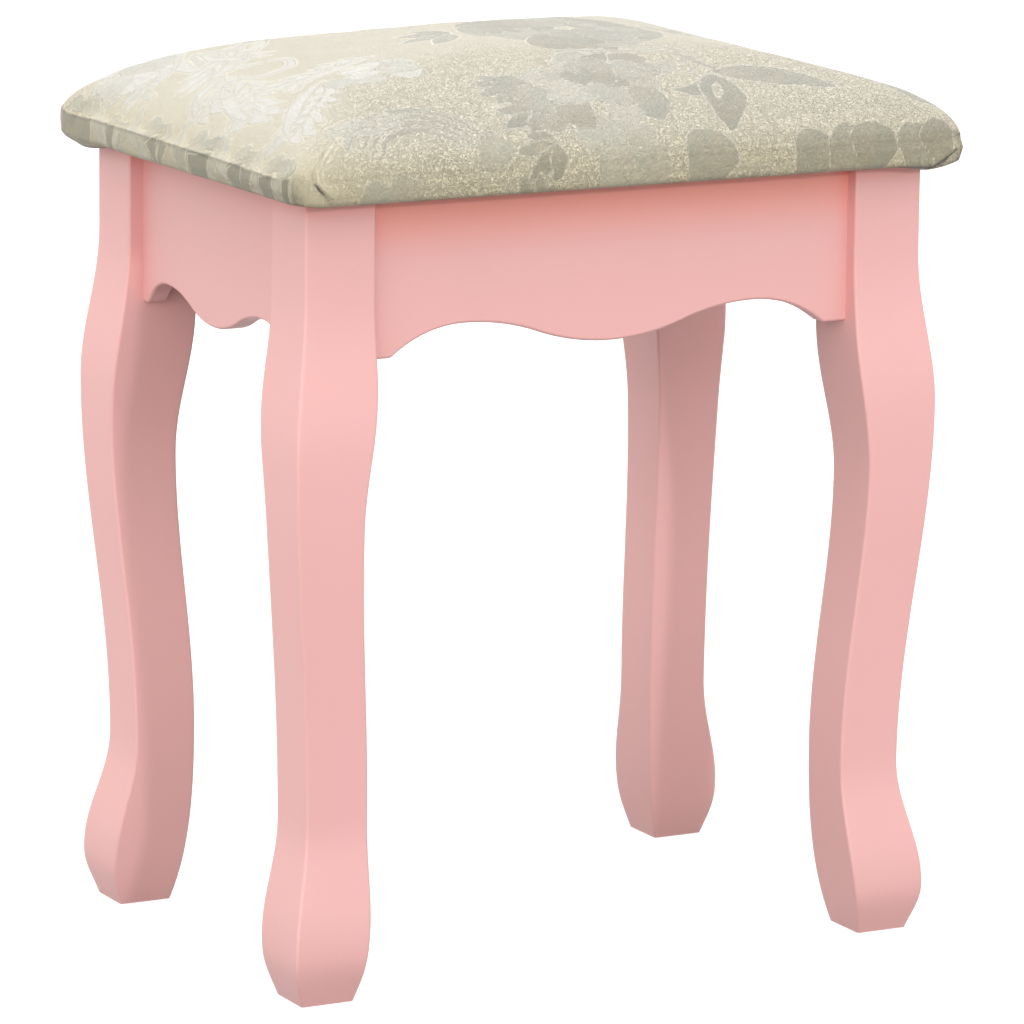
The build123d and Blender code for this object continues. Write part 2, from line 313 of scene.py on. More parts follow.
def bud(drawn):
    """A bud with its stem and leaves."""
    drawn.draw(stroke, (45, -77), 19, -70, 110, 2.6, grey=0.3)
    drawn.draw(stroke, (44, -78), 13, -40, 130, 2.2, grey=0.2)
    drawn.draw(leaf, (36, -112), 24, 10, 28, -7, grey=0.9)
    drawn.draw(petal, (38, -92), 14, 13, 40, grey=0.4)
    drawn.draw(stroke, (96, -66), 38, 180, 242, 2.8, grey=0.7)
    drawn.draw(leaf, (66, -96), 66, 17, -20, 4, grey=0.75)
    drawn.draw(leaf, (62, -99), 46, 22, -101, 3, grey=0.95)
    drawn.cut(leaf, (62, -106), 19, 6, -112, 1)


# Round petals along the front and the back edge: where, how long and how grey
FRONT_PETALS = (
    ((30, -170), 30, 0.6), ((92, -172), 27, 0.7), ((112, -176), 33, 0.7), ((132, -172), 28, 0.85),
    ((160, -172), 26, 0.7), ((178, -168), 24, 0.9), ((-20, -172), 27, 0.1), ((8, -176), 27, 0.2),
    ((-84, -156), 21, 0.3), ((-132, -176), 20, 0.3), ((-152, -178), 22, 0.2),
)
BACK_PETALS = (
    ((-130, 152), 26), ((-84, 154), 22), ((-4, 150), 28), ((52, 154), 24), ((140, 150), 26),
)


def along_the_front(drawn):
    for at, reach, grey in FRONT_PETALS:
        drawn.draw(petal, at, reach, reach * 1.05, 80 + 25 * sin(at[0]), grey=grey)
    drawn.sprig((-58, -176), 20, 100, 0.7)
    drawn.sprig((64, -178), 18, 70, 0.5)
    for number in range(4):
        drawn.draw(stroke, (-118, -158), 41 - 5 * number, 24, 158, 2.6, 1.05, grey=0.5)


# Scrolls on the left: where, length, angle, curl, leaflets, their size and how grey
# A grey below 0 gives the satin a painted glint.
LEFT_PLUMES = (
    ((-158, 28), 86, 62, -40, 8, 26, -0.8),
    ((-128, 40), 42, 70, 60, 5, 20, -0.8),
    ((-176, -52), 72, 50, 38, 7, 32, -0.8),
    ((-178, -104), 74, 34, 30, 7, 30, -0.8),
    ((-184, -8), 46, 20, 50, 5, 24, -0.7),
    ((-182, 62), 44, 60, -50, 5, 22, -0.7),
    ((-158, -132), 40, 30, -30, 5, 20, -0.4),
    ((-142, -34), 52, 28, -34, 6, 24, -0.8),
)


def scrolls_on_the_left(drawn):
    # greys below 0 give these figures a painted glint
    drawn.draw(stroke, (-102, 66), 50, 122, 240, 8, grey=-0.8)
    drawn.draw(stroke, (-106, 64), 38, 140, 224, 3, grey=-0.6)
    for plume in LEFT_PLUMES:
        drawn.plume(*plume)
    drawn.cluster((-172, 100), 22, 19, 10, turn=25, grey=-0.7)
    drawn.cluster((-106, -62), 17, 19, 7, turn=40, grey=-0.5)
    drawn.draw(stroke, (-132, 12), 14, 150, 420, 4.5, grey=-0.7)
    drawn.plume((-116, 96), 50, 20, 50, 6, 22, -0.5)


# Flowers that the left edge cuts: where and of what size
LEFT_FLOWERS = (
    ((-208, 110), 18), ((-210, 62), 13), ((-206, 18), 15),
    ((-208, -40), 18), ((-206, -86), 15), ((-207, -128), 18),
)
# Figures that the left band cuts: how far back, width, lean, taper and how grey
# A grey below 0 gives a painted glint, and a grey above 1.1 painted shade on the band.
LEFT_BARS = (
    (116, 44, 0, 0.1, 1.2), (78, 4, 14, 0.3, -0.7), (70, 9, 5, 0.5, 0.9), (61, 5, -12, 0.3, -0.7),
    (20, 10, 25, 1.0, 1.4), (6, 9, -20, 1.0, 1.3), (-14, 12, 10, 0.5, 0.4), (-35, 23, 10, 0.3, 1.9),
    (-52, 9, -16, 0.6, -0.3), (-76, 14, 22, 0.3, 1.6), (-91, 11, -8, 0.3, 1.4),
    (-102, 7, 12, 0.4, -0.4), (-114, 14, 6, 0.2, 1.9), (-128, 9, -6, 0.8, -0.2),
    (-139, 8, 8, 0.6, 1.5), (-148, 7, 0, 1.0, -0.4),
)
LEFT_BAND = -0.3 - CUT_X / MM
BAR_LENGTH = 18


def along_the_left(drawn):
    # greys below 0 give a painted glint, greys above 1.1 painted shade on the band
    for at, size in LEFT_FLOWERS:
        drawn.cluster(at, size * 0.8, size, 6, turn=3 * size, grey=-0.1)
        drawn.draw(leaf, (at[0] - 4, at[1] + size), 30, 9, 20 + size, 4, grey=-0.5)
    for back, width, lean, taper, grey in LEFT_BARS:
        drawn.draw(bar, (LEFT_BAND, back), BAR_LENGTH, width, 180 + lean, taper, grey=grey)


def back_and_right(drawn):
    """The same kinds of figures, turned round, on the back half and the right side."""
    drawn.blossom((-56, 96), 38, 3, turn=60, squash=0.95, grey=0.3)
    drawn.sprig((-94, 86), 26, 190, 0.6)
    drawn.sprig((-20, 112), 26, 20, 0.6)
    drawn.draw(leaf, (-40, 62), 46, 13, -35, 6, grey=0.8)
    drawn.cluster((112, 96), 32, 22, 13, turn=33, grey=0.2)
    drawn.draw(leaf, (84, 64), 48, 13, 160, 6, grey=0.8)
    drawn.plume((146, 34), 60, 110, -40, 6, 24, 0.5)
    drawn.plume((120, -20), 56, 20, 34, 6, 24, 0.6)
    drawn.cluster((180, -44), 24, 20, 10, turn=44, grey=0.4)
    drawn.draw(leaf, (150, -66), 40, 13, -52, 5, grey=0.8)
    drawn.draw(leaf, (158, -112), 40, 14, -24, -5, grey=0.8)
    drawn.cluster((190, -122), 14, 17, 6, turn=9, grey=0.8)
    drawn.cluster((186, 112), 20, 19, 9, turn=31, grey=0.4)
    drawn.draw(stroke, (46, 118), 30, 200, 330, 2.4, grey=0.5)
    drawn.draw(stroke, (46, 118), 24, 210, 320, 1.8, grey=0.5)
    for at, reach in BACK_PETALS:
        drawn.draw(petal, at, reach, reach * 1.1, 88 + 24 * sin(at[0]), grey=0.4)


def damask_figures(u, v):
    """The cloth's own layout of flowers, leaves and scrolls, each over the earlier ones."""
    drawn = Figure(u, v)
    front = (flower_on_top, flower_over_the_front, bud, along_the_front)
    for part in (*front, scrolls_on_the_left, along_the_left, back_and_right):
        part(drawn)
    return drawn.edge, drawn.grey


# ---- shader sums


class Socket:
    """One output in a tree of nodes. Arithmetic on it adds Math nodes."""

    def __init__(self, finish, link):
        self.finish = finish
        self.link = link

    def math(self, operation, *values):
        return self.finish.node("ShaderNodeMath", {"operation": operation}, dict(enumerate(values)))

    def __add__(self, other):
        return self.math("ADD", self, other)

    __radd__ = __add__

    def __sub__(self, other):
        return self.math("SUBTRACT", self, other)

    def __rsub__(self, other):
        return self.math("SUBTRACT", other, self)

    def __mul__(self, other):
        return self.math("MULTIPLY", self, other)

    __rmul__ = __mul__

    def __abs__(self):
        return self.math("ABSOLUTE", self)

    def step(self, low, high):
        """0 below low, 1 above high and smooth between them; low may be the higher one."""
        values = {"Value": self, "From Min": low, "From Max": high}
        return self.finish.node("ShaderNodeMapRange", {"interpolation_type": "SMOOTHSTEP"}, values)


def as_colour(value):
    """A link as it is, or a plain colour with its alpha."""
    return value if isinstance(value, Socket) else (*value, 1.0)


class Finish:
    """The nodes of one material, or of the world."""

    def __init__(self, holder):
        holder.use_nodes = True
        self.holder = holder
        self.tree = holder.node_tree
        self.tree.nodes.clear()

    def node(self, kind, settings=None, sockets=None, output=0):
        """A node of any kind: its settings first, then the values or links of its sockets."""
        made = self.tree.nodes.new(kind)
        for name, value in (settings or {}).items():
            setattr(made, name, value)
        for name, value in (sockets or {}).items():
            if isinstance(value, Socket):
                self.tree.links.new(value.link, made.inputs[name])
            else:
                made.inputs[name].default_value = value
        return Socket(self, made.outputs[output]) if len(made.outputs) else None

    def object_place(self):
        return self.node("ShaderNodeTexCoord", output="Object")

    def axis(self, place, name):
        return self.node("ShaderNodeSeparateXYZ", None, {"Vector": place}, name)

    def stretched(self, place, scale, turn=0.0):
        """A place scaled, and turned by some degrees about Z."""
        values = {"Vector": place, "Scale": scale, "Rotation": (0, 0, radians(turn))}
        return self.node("ShaderNodeMapping", None, values)

    def noise(self, place, size, detail=2.0, rough=0.5, distortion=0.0):
        """Even noise from 0 to 1 with features about size metres across."""
        values = {"Vector": place, "Scale": 1 / size, "Detail": detail}
        values |= {"Roughness": rough, "Distortion": distortion}
        return self.node("ShaderNodeTexNoise", None, values, "Fac")

    def cells(self, place, size):
        """How far a place lies from the middle of its cell."""
        values = {"Vector": place, "Scale": 1 / size}
        return self.node("ShaderNodeTexVoronoi", None, values, "Distance")

    def attribute(self, name):
        return self.node("ShaderNodeAttribute", {"attribute_name": name}, output="Fac")

    def mix(self, low, high, share):
        """A colour between low and high."""
        values = {0: share, 6: as_colour(low), 7: as_colour(high)}
        return self.node("ShaderNodeMix", {"data_type": "RGBA"}, values, 2)

    def tinted(self, colour, shade):
        """colour times a grey value that varies over the surface."""
        values = dict.fromkeys(("Red", "Green", "Blue"), shade)
        grey = self.node("ShaderNodeCombineColor", None, values)
        return self.times(as_colour(colour), grey)

    def times(self, colour, other):
        settings = {"data_type": "RGBA", "blend_type": "MULTIPLY"}
        return self.node("ShaderNodeMix", settings, {0: 1.0, 6: colour, 7: other}, 2)

    def bump(self, height, depth, strength=1.0):
        """A normal from a height from 0 to 1 that stands depth metres high."""
        values = {"Height": height, "Distance": depth, "Strength": strength}
        return self.node("ShaderNodeBump", None, values)

    def surface(self, **sockets):
        """The shader and the output. Names are a Principled shader's, with _ for a space."""
        values = {name.replace("_", " "): value for name, value in sockets.items()}
        shader = self.node("ShaderNodeBsdfPrincipled", None, values)
        self.node("ShaderNodeOutputMaterial", None, {"Surface": shader})
        return self.holder


def finish(name):
    return Finish(bpy.data.materials.new(name))


# ---- materials

PINK = (0.9, 0.475, 0.455)
PAINTED_SHADE_PINK = (1.0, 0.34, 0.265)  # painted shade, close under the seat where its overhang shades the frame
FRAME_TOP = seat_bottom
LOW_SHADE_FROM, LOW_SHADE_FULL = 170 * MM, 25 * MM  # painted shade: darker towards the floor between these heights
WOOD_GRAIN = (1, 0.08, 1)  # grain stretched along Y


def pink_paint(name, painted_shade_from, painted_shade_share):
    """Satin paint on smooth wood, with a faint orange peel. Close under the seat, a deeper colour
    is painted in as the overhang's shade, and it is painted darker towards the floor as shade."""
    made = finish(name)
    place = made.object_place()
    cloud = made.noise(place, 60 * MM, detail=3.0)
    peel = made.noise(place, 1.6 * MM)
    brush = made.noise(made.stretched(place, (1, 1, 0.06)), 1.2 * MM)
    above = made.axis(place, "Z")
    # painted shade: a deeper colour close under the seat, where its overhang shades the frame
    kept = above.step(painted_shade_from, FRAME_TOP) * painted_shade_share
    # painted shade: a little darker towards the floor
    dullness_and_shade = above.step(LOW_SHADE_FROM, LOW_SHADE_FULL)
    return made.surface(
        Base_Color=made.tinted(made.mix(PINK, PAINTED_SHADE_PINK, kept), 0.97 + 0.06 * cloud - 0.1 * dullness_and_shade),
        Roughness=0.44 + 0.1 * cloud,
        Specular_IOR_Level=1.0,
        Normal=made.bump(peel * 0.5 + brush * 0.5, 0.05 * MM, 0.5),
    )


def bare_wood(name, pale, dark):
    """Unfinished wood with its grain stretched along one way."""
    made = finish(name)
    place = made.stretched(made.object_place(), WOOD_GRAIN)
    grain = made.noise(place, 1.4 * MM, detail=4.0, rough=0.6, distortion=0.4)
    rings = made.noise(place, 9 * MM, distortion=0.8)
    return made.surface(
        Base_Color=made.mix(pale, dark, (grain * 0.5 + rings * 0.5).step(0.38, 0.68)),
        Roughness=0.62 + 0.2 * grain,
        Normal=made.bump(grain, 0.12 * MM, 0.6),
    )


def bright_steel(name, colour):
    made = finish(name)
    dullness_and_shade = made.noise(made.object_place(), 1.5 * MM, detail=3.0)
    return made.surface(
        Base_Color=made.tinted(colour, 0.9 + 0.15 * dullness_and_shade),
        Metallic=1.0,
        Roughness=0.26 + 0.2 * dullness_and_shade,
        Normal=made.bump(dullness_and_shade, 0.02 * MM, 0.4),
    )


# The damask's ground and the satin of its figures, pale and dark in a warmer and a cooler tone
GROUND_RAISED = (0.695, 0.65, 0.52)
# painted shade: the ground's colour in the crinkle's hollows and creases
GROUND_SHADED_HOLLOW = (0.55, 0.508, 0.388)
GROUND_RIM = (0.7, 0.67, 0.58)
# painted glint: the bright satin of the figures on the left
PAINTED_GLINT_SATIN = (0.575, 0.56, 0.505)
PALE_SATIN = (0.49, 0.46, 0.38), (0.455, 0.45, 0.38)
DARK_SATIN = (0.32, 0.295, 0.225), (0.295, 0.285, 0.225)
# painted shade: the deep satin of the bars on the left band
PAINTED_SHADE_SATIN = (0.245, 0.24, 0.18)
# Painted light on the lower cloth: its colour times this, brighter and warmer
PAINTED_LOW_LIGHT = (1.15, 1.09, 0.93)
PAINTED_LIGHT_FROM = 435 * MM  # height below which the cloth is painted brighter and warmer, as light

# Where the cloth changes its hand, by distances to the right and the back on the cut cloth
LEFT_PART = (-190 * MM, -110 * MM)  # smooth on the left
FRONT_PART = (-30 * MM, -95 * MM)  # crinkled at the front
RIGHT_PART = (20 * MM, 150 * MM)  # less crinkled far to the right
TOP_PART = (-204 * MM, -200 * MM)  # off the left band, where the figures have loose edges


def satin_colour(made, grey, tone):
    """Figure colour: a bright painted glint below a grey of -0.9, deep painted shade above 2."""
    pale, dark = made.mix(*PALE_SATIN, tone), made.mix(*DARK_SATIN, tone)
    colour = made.mix(pale, dark, grey.step(-0.2, 1.1))
    colour = made.mix(PAINTED_GLINT_SATIN, colour, grey.step(-0.9, -0.2))
    return made.mix(colour, PAINTED_SHADE_SATIN, grey.step(1.1, 2.0))


def fold_shade(made):
    """Painted shade in tucks and open folds; a painted highlight on the two ridges beside a fold.
    """
    fold = made.attribute("fold")
    slit = abs(fold - 0.5).step(1.1, 0.3) * made.attribute("open")
    ridges = abs(fold + 1.9).step(1.1, 0.1) + 0.6 * abs(fold + 5.2).step(1.2, 0.1)
    ridges = ridges * made.attribute("ridge_highlight")
    return 1 - 0.8 * made.attribute("tuck") - 0.75 * slit + 0.3 * ridges


def damask():
    """Crinkled cream ground with smoother silver-grey satin figures."""
    made = finish("damask")
    flat = made.node("ShaderNodeUVMap", {"uv_map": "cloth"})
    edge, grey = made.attribute("figure"), made.attribute("grey")
    right = made.axis(flat, "X")
    rightward, far_right = right.step(*LEFT_PART), right.step(*RIGHT_PART)
    frontward = made.axis(flat, "Y").step(*FRONT_PART)
    crisp = 0.3 + 0.9 * rightward * frontward * (1 - 0.4 * far_right)
    loose = (1 - rightward) * right.step(*TOP_PART)
    # textures
    crinkle = made.noise(flat, 1.05 * MM, detail=3.0, rough=0.6, distortion=1.0)
    crease = abs(made.noise(flat, 1.55 * MM, distortion=1.0) - 0.5).step(0.0, 0.075)
    thread = made.noise(made.stretched(flat, (1, 0.22, 1)), 0.5 * MM)
    twill = made.noise(made.stretched(flat, (1, 0.12, 1), turn=24), 0.55 * MM)
    slant = made.stretched(flat, (1, 0.25, 1), turn=-50)
    swept = made.noise(slant, 2.6 * MM, detail=3.0, rough=0.6, distortion=0.6)
    mottle = made.noise(flat, 5 * MM, detail=3.0, rough=0.6, distortion=0.6)
    tone = made.noise(flat, 17 * MM, detail=1.0).step(0.35, 0.65)
    cloud = made.noise(flat, 34 * MM)
    # the figures' edges, and the ground close round them
    fray = 0.9 * (made.noise(flat, 1.1 * MM, detail=1.0) - 0.5)
    frayed = edge + fray + 3.0 * loose * (swept - 0.5)
    satin = frayed.step(0.25 + 0.6 * loose, -0.35 - 0.6 * loose)
    outline = abs(frayed - 0.25).step(0.55, 0.1) * rightward
    rim = edge.step(1.9, 0.8) * (1 - satin)
    # colour
    # painted shade: the crinkle's hollows and creases are darker
    hollow_shade = crinkle.step(0.62, 0.34) * 0.45 + (1 - crease) * 0.85
    ground = made.mix(GROUND_RAISED, GROUND_SHADED_HOLLOW, 0.55 + (hollow_shade - 0.55) * crisp)
    ground = made.tinted(ground, 0.685 + 0.085 * loose + 0.275 * crisp)
    ground = made.mix(ground, GROUND_RIM, rim * (0.35 + 0.3 * rightward))
    # on the figures, the creases are painted a little darker as shade
    sheen = 0.8 + 0.12 * twill + 0.28 * mottle - 0.08 * (1 - crease)
    figures = made.tinted(satin_colour(made, grey, tone), sheen)
    uneven = (0.94 + 0.06 * cloud + 0.06 * swept) * (1 - 0.1 * outline)
    colour = made.tinted(made.mix(ground, figures, satin), uneven)
    # painted light: below the crown the cloth is painted brighter and warmer
    low = made.axis(made.object_place(), "Z").step(PAINTED_LIGHT_FROM, FRAME_TOP)
    colour = made.times(colour, made.mix((1, 1, 1), PAINTED_LOW_LIGHT, low))
    # relief
    rough = 0.35 * crinkle.step(0.32, 0.68) + 0.65 * crease
    smooth_height = 0.44 + 0.08 * twill + 0.24 * rough
    ground_height = 0.66 * rough * crisp + 0.1 * thread
    height = satin * smooth_height + (1 - satin) * ground_height
    return made.surface(
        Base_Color=made.tinted(colour, fold_shade(made)),
        Roughness=0.7 - 0.22 * satin,
        Specular_IOR_Level=0.5,
        Sheen_Weight=0.3,
        Sheen_Roughness=0.5,
        Normal=made.bump(height, 1.2 * MM),
    )


def foam():
    made = finish("seat foam")
    cell = made.cells(made.object_place(), 1.1 * MM)
    return made.surface(
        Base_Color=made.mix((0.86, 0.8, 0.6), (0.72, 0.64, 0.44), cell.step(0.2, 0.7)),
        Roughness=0.95,
        Normal=made.bump(cell, 0.4 * MM, 0.8),
    )


def wadding_fibre():
    made = finish("polyester wadding")
    place = made.stretched(made.object_place(), (1, 3, 1))
    fibre = made.noise(place, 0.9 * MM, detail=4.0, rough=0.7, distortion=1.5)
    return made.surface(
        Base_Color=made.tinted((0.88, 0.88, 0.86), 0.9 + 0.15 * fibre),
        Roughness=0.9,
        Normal=made.bump(fibre, 0.4 * MM, 0.7),
    )


def non_woven():
    """Thin black cloth of pressed fibres with a grid of bonding points."""
    made = finish("dust cloth")
    place = made.object_place()
    points = made.cells(made.stretched(place, (1, 1, 0)), 1.8 * MM)
    fibre = made.noise(place, 0.7 * MM, detail=4.0, rough=0.7, distortion=1.0)
    return made.surface(
        Base_Color=made.tinted((0.035, 0.034, 0.033), 0.7 + 0.6 * fibre),
        Roughness=0.85,
        Normal=made.bump(points.step(0.15, 0.45) * 0.7 + fibre * 0.3, 0.2 * MM, 0.7),
    )


# ---- soft pieces

CLOTH_GRID = 6.2 * MM
CLOTH_LEVELS = 2
LAYER_GRID = 2 * CLOTH_GRID
EDGE_ROW = 2 * MM  # a closer row along the upper edge of the band
BAND_ROWS = (0, 1.2 * MM, 4 * MM)
HEM_ROWS = (7 * MM, 16 * MM, HEM - BAND_ROUND)  # from the end of the rounding
WADDING = 3.8 * MM
WADDING_INSET = 2.2 * MM
FOAM_INSET = 6.6 * MM
LAYER_LIFT = 0.4 * MM

# How the cloth behaves while it settles, and how far a point may move from its even form
SETTLING_FRAMES = 22
CLOTH_SETTINGS = {
    "quality": 6,
    "mass": 0.2,
    "tension_stiffness": 20.0,
    "compression_stiffness": 20.0,
    "shear_stiffness": 8.0,
    "bending_stiffness": 0.4,
    "vertex_group_mass": "held",
    "pin_stiffness": 1.0,
    "vertex_group_shrink": "slack",
    "shrink_min": 0.0,
    "shrink_max": -0.09,
    "use_pressure": True,
    "uniform_pressure_force": 3.0,
}
SLACK_MOST = 1.2
SLACK_REACH = 60 * MM  # from a corner
CORNER_REACH = 45 * MM
OUTWARD_CAP = 1.6 * MM  # at the corners
TOP_CAP = 0.2 * MM
INWARD_CAP = 0.4 * MM
SIDEWAYS_CAP = 2.5 * MM

DUST_CLOTH_CELLS = (68, 48)
DUST_CLOTH_DROP = 0.05 * MM  # under the board
DUST_CLOTH_THICKNESS = 0.4 * MM


def on_scene(name, data):
    made = bpy.data.objects.new(name, data)
    bpy.context.scene.collection.objects.link(made)
    return made


def new_piece(name, shape, material):
    """A piece from a bmesh, with its faces turned outwards."""
    bmesh.ops.recalc_face_normals(shape, faces=shape.faces)
    mesh = bpy.data.meshes.new(name)
    shape.to_mesh(mesh)
    shape.free()
    mesh.materials.append(material)
    mesh.polygons.foreach_set("use_smooth", [True] * len(mesh.polygons))
    piece = on_scene(name, mesh)
    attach(piece, "root")
    return piece


def read(collection, name, width):
    values = np.empty(width * len(collection), dtype=np.float32)
    collection.foreach_get(name, values)
    return values.reshape(-1, width).astype(float)


def move_points(mesh, points):
    mesh.vertices.foreach_set("co", points.astype(np.float32).ravel())
    mesh.update()


def cut_cloth(half_x, half_y, grid, borders=()):
    """A flat cloth with square corners, and a border round it in steps."""
    cloth = bmesh.new()
    across, down = round(2 * half_x / grid), round(2 * half_y / grid)
    bmesh.ops.create_grid(cloth, x_segments=across, y_segments=down, size=1.0)
    bmesh.ops.scale(cloth, vec=(half_x, half_y, 1), verts=cloth.verts)
    reached = 0.0
    for border in borders:
        edges = [edge for edge in cloth.edges if edge.is_boundary]
        grown = bmesh.ops.extrude_edge_only(cloth, edges=edges)["geom"]
        for corner in grown:
            if isinstance(corner, bmesh.types.BMVert):
                for axis, half in enumerate((half_x + reached, half_y + reached)):
                    if abs(corner.co[axis]) > half - grid / 100:
                        corner.co[axis] += (border - reached) * (1 if corner.co[axis] > 0 else -1)
        reached = border
    return cloth


def laid(cloth, form):
    """Move each vertex of a flat cloth to its place, and keep where it was cut."""
    flat = np.array([corner.co for corner in cloth.verts])
    kept = cloth.verts.layers.float_vector.new("cut")
    for corner, start, place in zip(cloth.verts, flat, form(flat[:, 0], flat[:, 1])):
        corner[kept] = start
        corner.co = place
    return cloth


def over_the_seat(u, v):
    past = np.maximum(np.maximum(np.abs(u) - CUT_X, np.abs(v) - CUT_Y), 0)
    return on_cover(np.clip(u, -CUT_X, CUT_X), np.clip(v, -CUT_Y, CUT_Y), past)


def settle(piece):
    """Let the cloth find its own folds under the push of the wadding, held under the board."""
    mesh = piece.data
    formed, outward = read(mesh.vertices, "co", 3), read(mesh.vertices, "normal", 3)
    cut = read(mesh.attributes["cut"].data, "vector", 3)
    side, end = np.abs(cut[:, 0]) - CUT_X, np.abs(cut[:, 1]) - CUT_Y
    to_corner = np.hypot(side, end)
    weights = {
        "held": np.clip(np.maximum(side, end) / band_drop, 0, 1),
        "slack": np.clip(SLACK_MOST - to_corner / SLACK_REACH, 0, 1),
    }
    for name, values in weights.items():
        group = piece.vertex_groups.new(name=name)
        for number, value in enumerate(values):
            group.add([number], float(value), "REPLACE")
    cloth = piece.modifiers.new("cloth", "CLOTH")
    cloth.point_cache.frame_start, cloth.point_cache.frame_end = 1, SETTLING_FRAMES
    cloth.collision_settings.use_collision = False
    for name, value in CLOTH_SETTINGS.items():
        setattr(cloth.settings, name, value)
    cloth.settings.effector_weights.gravity = 0.0
    scene = bpy.context.scene
    for number in range(1, SETTLING_FRAMES + 1):
        scene.frame_set(number)
    settled = piece.evaluated_get(bpy.context.evaluated_depsgraph_get()).to_mesh()
    moved = read(settled.vertices, "co", 3) - formed
    piece.modifiers.remove(cloth)
    piece.vertex_groups.clear()
    scene.frame_set(1)
    out = np.sum(moved * outward, axis=1, keepdims=True)
    aside = moved - out * outward
    reach = np.maximum(np.linalg.norm(aside, axis=1, keepdims=True), TINY)
    aside *= np.minimum(1, SIDEWAYS_CAP / reach)
    near_corner = np.exp(-((to_corner / CORNER_REACH) ** 2))[:, None]
    cap = TOP_CAP + (OUTWARD_CAP - TOP_CAP) * near_corner
    move_points(mesh, formed + aside + np.clip(out, -INWARD_CAP, cap) * outward)


def refine(piece, levels):
    """Subdivide the piece for good."""
    smooth = piece.modifiers.new("smooth", "SUBSURF")
    smooth.levels = smooth.render_levels = levels
    smooth.boundary_smooth = "PRESERVE_CORNERS"
    evaluated = piece.evaluated_get(bpy.context.evaluated_depsgraph_get())
    fine = bpy.data.meshes.new_from_object(evaluated)
    coarse = piece.data
    piece.modifiers.remove(smooth)
    piece.data = fine
    bpy.data.meshes.remove(coarse)
    fine.name = piece.name


def keep_value(mesh, name, values):
    mesh.attributes.new(name, "FLOAT", "POINT").data.foreach_set("value", values.astype(np.float32))


def fall(value, low, high):
    """1 below low, 0 above high and smooth between them."""
    share = np.clip((high - value) / (high - low), 0, 1)
    return share * share * (3 - 2 * share)


def hump(value, middle, reach):
    """1 in the middle, and less and less away from it."""
    return np.exp(-(((value - middle) / reach) ** 2))


